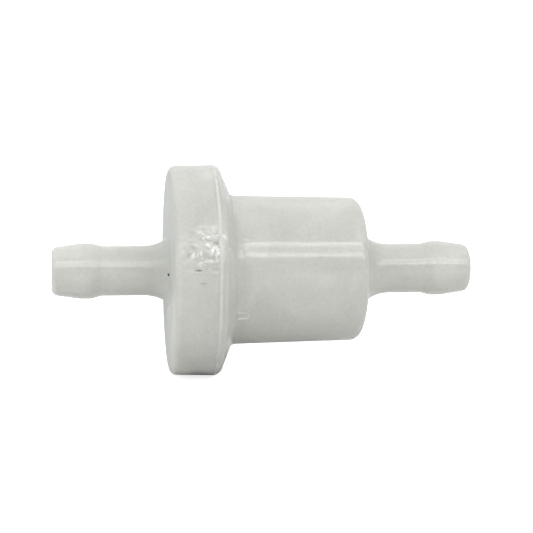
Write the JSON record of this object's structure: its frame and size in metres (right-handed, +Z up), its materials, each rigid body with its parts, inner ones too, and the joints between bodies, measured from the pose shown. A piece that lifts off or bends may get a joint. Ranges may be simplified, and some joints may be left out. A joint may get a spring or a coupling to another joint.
{
  "type": "in-line fuel filter",
  "caption": "Milky nylon in-line fuel filter with a wide welded rim, a narrower barrel, a barbed hose nipple at each end and a gauze strainer basket sealed inside.",
  "frame": {"origin": "centre of the bounding box, on the axis of the filter, midway between the two nipple tips", "axes": "+X along the fuel flow, from the inlet nipple to the outlet nipple; +Z up; +Y away from the side that carries the small raised tab"},
  "size_m": [0.052, 0.026, 0.0262],
  "materials": {
    "housing_nylon": "satin milky translucent",
    "weld_nylon": "rough remelted",
    "frame_nylon": "matte moulded",
    "gauze": "woven monofilament",
    "gasket_rubber": "matte"
  },
  "bodies": {
    "root": {"inlet_cap": "housing_nylon", "outlet_body": "housing_nylon", "weld_bead": "weld_nylon", "weld_flash": "weld_nylon", "strainer_frame": "frame_nylon", "mesh_sleeve": "gauze", "mesh_seam": "frame_nylon", "mesh_end_disc": "gauze", "flange_gasket": "gasket_rubber"}
  },
  "joints": []
}
